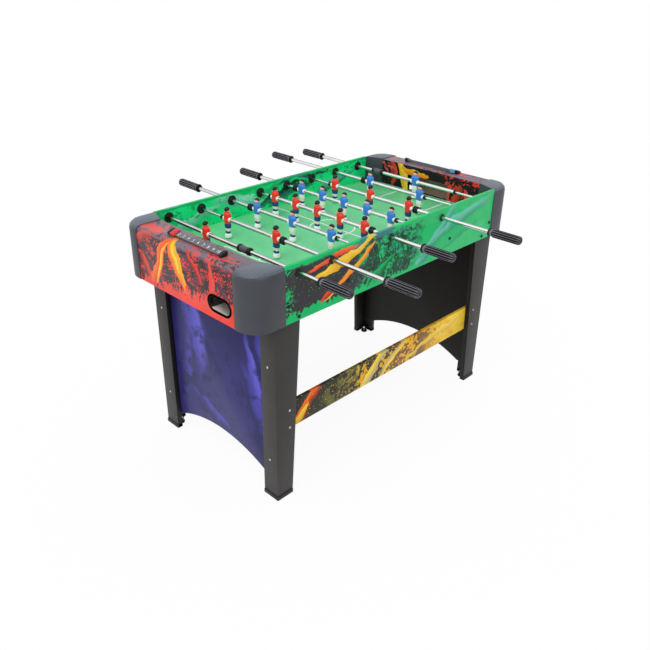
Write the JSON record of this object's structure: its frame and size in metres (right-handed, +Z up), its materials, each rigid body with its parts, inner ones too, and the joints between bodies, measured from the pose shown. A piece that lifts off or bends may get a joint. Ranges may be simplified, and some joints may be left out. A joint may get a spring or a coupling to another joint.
{
  "type": "foosball table",
  "caption": "Freestanding foosball table: telescopic rods that spin and slide carry moulded men over a goal-ended field, with ball returns and sliding score markers.",
  "frame": {"origin": "on the floor, under the middle of the whole table with its grips (20 mm in front of the middle of the field)", "axes": "+X along the table from the red goal to the blue goal, +Y across it to the back, +Z up"},
  "size_m": [1.214, 1.26, 0.7945],
  "materials": {
    "side_panel": "vinyl-wrapped board, satin",
    "end_box": "vinyl-wrapped board, satin",
    "corner_cap": "moulded, fine texture",
    "playfield": "printed laminate, satin",
    "leg": "black vinyl-wrapped board",
    "leg_panel": "vinyl-wrapped board, satin",
    "stretcher": "vinyl-wrapped board, satin",
    "score_rail": "moulded",
    "marker_red": "moulded",
    "marker_blue": "moulded",
    "rod_tube": "plated steel tube with a black rubber grip",
    "inner_rod": "plated",
    "man_red": "moulded and painted",
    "man_blue": "moulded and painted"
  },
  "bodies": {
    "table": {"playfield": "playfield", "side_panel_front": "side_panel", "side_panel_back": "side_panel", "end_box_left": "end_box", "end_box_right": "end_box", "score_rail_left": "score_rail", "score_rail_right": "score_rail", "leg_panel_left": "leg_panel", "leg_panel_right": "leg_panel", "stretcher_front": "stretcher", "stretcher_back": "stretcher", "corner_cap_front_left": "corner_cap", "leg_front_left": "leg", "corner_cap_front_right": "corner_cap", "leg_front_right": "leg", "corner_cap_back_left": "corner_cap", "leg_back_left": "leg", "corner_cap_back_right": "corner_cap", "leg_back_right": "leg"},
    "rod_1_inner": {"rod_1_inner_rod": "inner_rod"},
    "rod_1": {"rod_1_tube": "rod_tube", "rod_1_man_1": "man_red"},
    "rod_2_inner": {"rod_2_inner_rod": "inner_rod"},
    "rod_2": {"rod_2_tube": "rod_tube", "rod_2_man_1": "man_red", "rod_2_man_2": "man_red"},
    "rod_3_inner": {"rod_3_inner_rod": "inner_rod"},
    "rod_3": {"rod_3_tube": "rod_tube", "rod_3_man_1": "man_blue", "rod_3_man_2": "man_blue", "rod_3_man_3": "man_blue"},
    "rod_4_inner": {"rod_4_inner_rod": "inner_rod"},
    "rod_4": {"rod_4_tube": "rod_tube", "rod_4_man_1": "man_red", "rod_4_man_2": "man_red", "rod_4_man_3": "man_red", "rod_4_man_4": "man_red", "rod_4_man_5": "man_red"},
    "rod_5_inner": {"rod_5_inner_rod": "inner_rod"},
    "rod_5": {"rod_5_tube": "rod_tube", "rod_5_man_1": "man_blue", "rod_5_man_2": "man_blue", "rod_5_man_3": "man_blue", "rod_5_man_4": "man_blue", "rod_5_man_5": "man_blue"},
    "rod_6_inner": {"rod_6_inner_rod": "inner_rod"},
    "rod_6": {"rod_6_tube": "rod_tube", "rod_6_man_1": "man_red", "rod_6_man_2": "man_red", "rod_6_man_3": "man_red"},
    "rod_7_inner": {"rod_7_inner_rod": "inner_rod"},
    "rod_7": {"rod_7_tube": "rod_tube", "rod_7_man_1": "man_blue", "rod_7_man_2": "man_blue"},
    "rod_8_inner": {"rod_8_inner_rod": "inner_rod"},
    "rod_8": {"rod_8_tube": "rod_tube", "rod_8_man_1": "man_blue"},
    "score_marker_left": {"score_marker_left": "marker_red"},
    "score_marker_right": {"score_marker_right": "marker_blue"}
  },
  "joints": [
    {"name": "rod_1_spin", "type": "hinge", "parent": "table", "child": "rod_1_inner", "pos_m": [-0.4445, -0.02, 0.751], "axis": [0, 1, 0], "continuous": true},
    {"name": "rod_1_slide", "type": "slide", "parent": "rod_1_inner", "child": "rod_1", "axis": [0, 1, 0], "range_m": [-0.18, 0.004]},
    {"name": "rod_2_spin", "type": "hinge", "parent": "table", "child": "rod_2_inner", "pos_m": [-0.3175, -0.02, 0.751], "axis": [0, 1, 0], "continuous": true},
    {"name": "rod_2_slide", "type": "slide", "parent": "rod_2_inner", "child": "rod_2", "axis": [0, 1, 0], "range_m": [-0.176, 0.103]},
    {"name": "rod_3_spin", "type": "hinge", "parent": "table", "child": "rod_3_inner", "pos_m": [-0.1905, -0.02, 0.751], "axis": [0, 1, 0], "continuous": true},
    {"name": "rod_3_slide", "type": "slide", "parent": "rod_3_inner", "child": "rod_3", "axis": [0, 1, 0], "range_m": [-0.08, 0.089]},
    {"name": "rod_4_spin", "type": "hinge", "parent": "table", "child": "rod_4_inner", "pos_m": [-0.0635, -0.02, 0.751], "axis": [0, 1, 0], "continuous": true},
    {"name": "rod_4_slide", "type": "slide", "parent": "rod_4_inner", "child": "rod_4", "axis": [0, 1, 0], "range_m": [-0.052, 0.045]},
    {"name": "rod_5_spin", "type": "hinge", "parent": "table", "child": "rod_5_inner", "pos_m": [0.0635, -0.02, 0.751], "axis": [0, 1, 0], "continuous": true},
    {"name": "rod_5_slide", "type": "slide", "parent": "rod_5_inner", "child": "rod_5", "axis": [0, 1, 0], "range_m": [-0.061, 0.036]},
    {"name": "rod_6_spin", "type": "hinge", "parent": "table", "child": "rod_6_inner", "pos_m": [0.1905, -0.02, 0.751], "axis": [0, 1, 0], "continuous": true},
    {"name": "rod_6_slide", "type": "slide", "parent": "rod_6_inner", "child": "rod_6", "axis": [0, 1, 0], "range_m": [-0.082, 0.087]},
    {"name": "rod_7_spin", "type": "hinge", "parent": "table", "child": "rod_7_inner", "pos_m": [0.3175, -0.02, 0.751], "axis": [0, 1, 0], "continuous": true},
    {"name": "rod_7_slide", "type": "slide", "parent": "rod_7_inner", "child": "rod_7", "axis": [0, 1, 0], "range_m": [-0.143, 0.136]},
    {"name": "rod_8_spin", "type": "hinge", "parent": "table", "child": "rod_8_inner", "pos_m": [0.4445, -0.02, 0.751], "axis": [0, 1, 0], "continuous": true},
    {"name": "rod_8_slide", "type": "slide", "parent": "rod_8_inner", "child": "rod_8", "axis": [0, 1, 0], "range_m": [-0.106, 0.078]},
    {"name": "score_marker_left_slide", "type": "slide", "parent": "table", "child": "score_marker_left", "axis": [0, 1, 0], "range_m": [-0.2, 0]},
    {"name": "score_marker_right_slide", "type": "slide", "parent": "table", "child": "score_marker_right", "axis": [0, 1, 0], "range_m": [0, 0.2]}
  ]
}
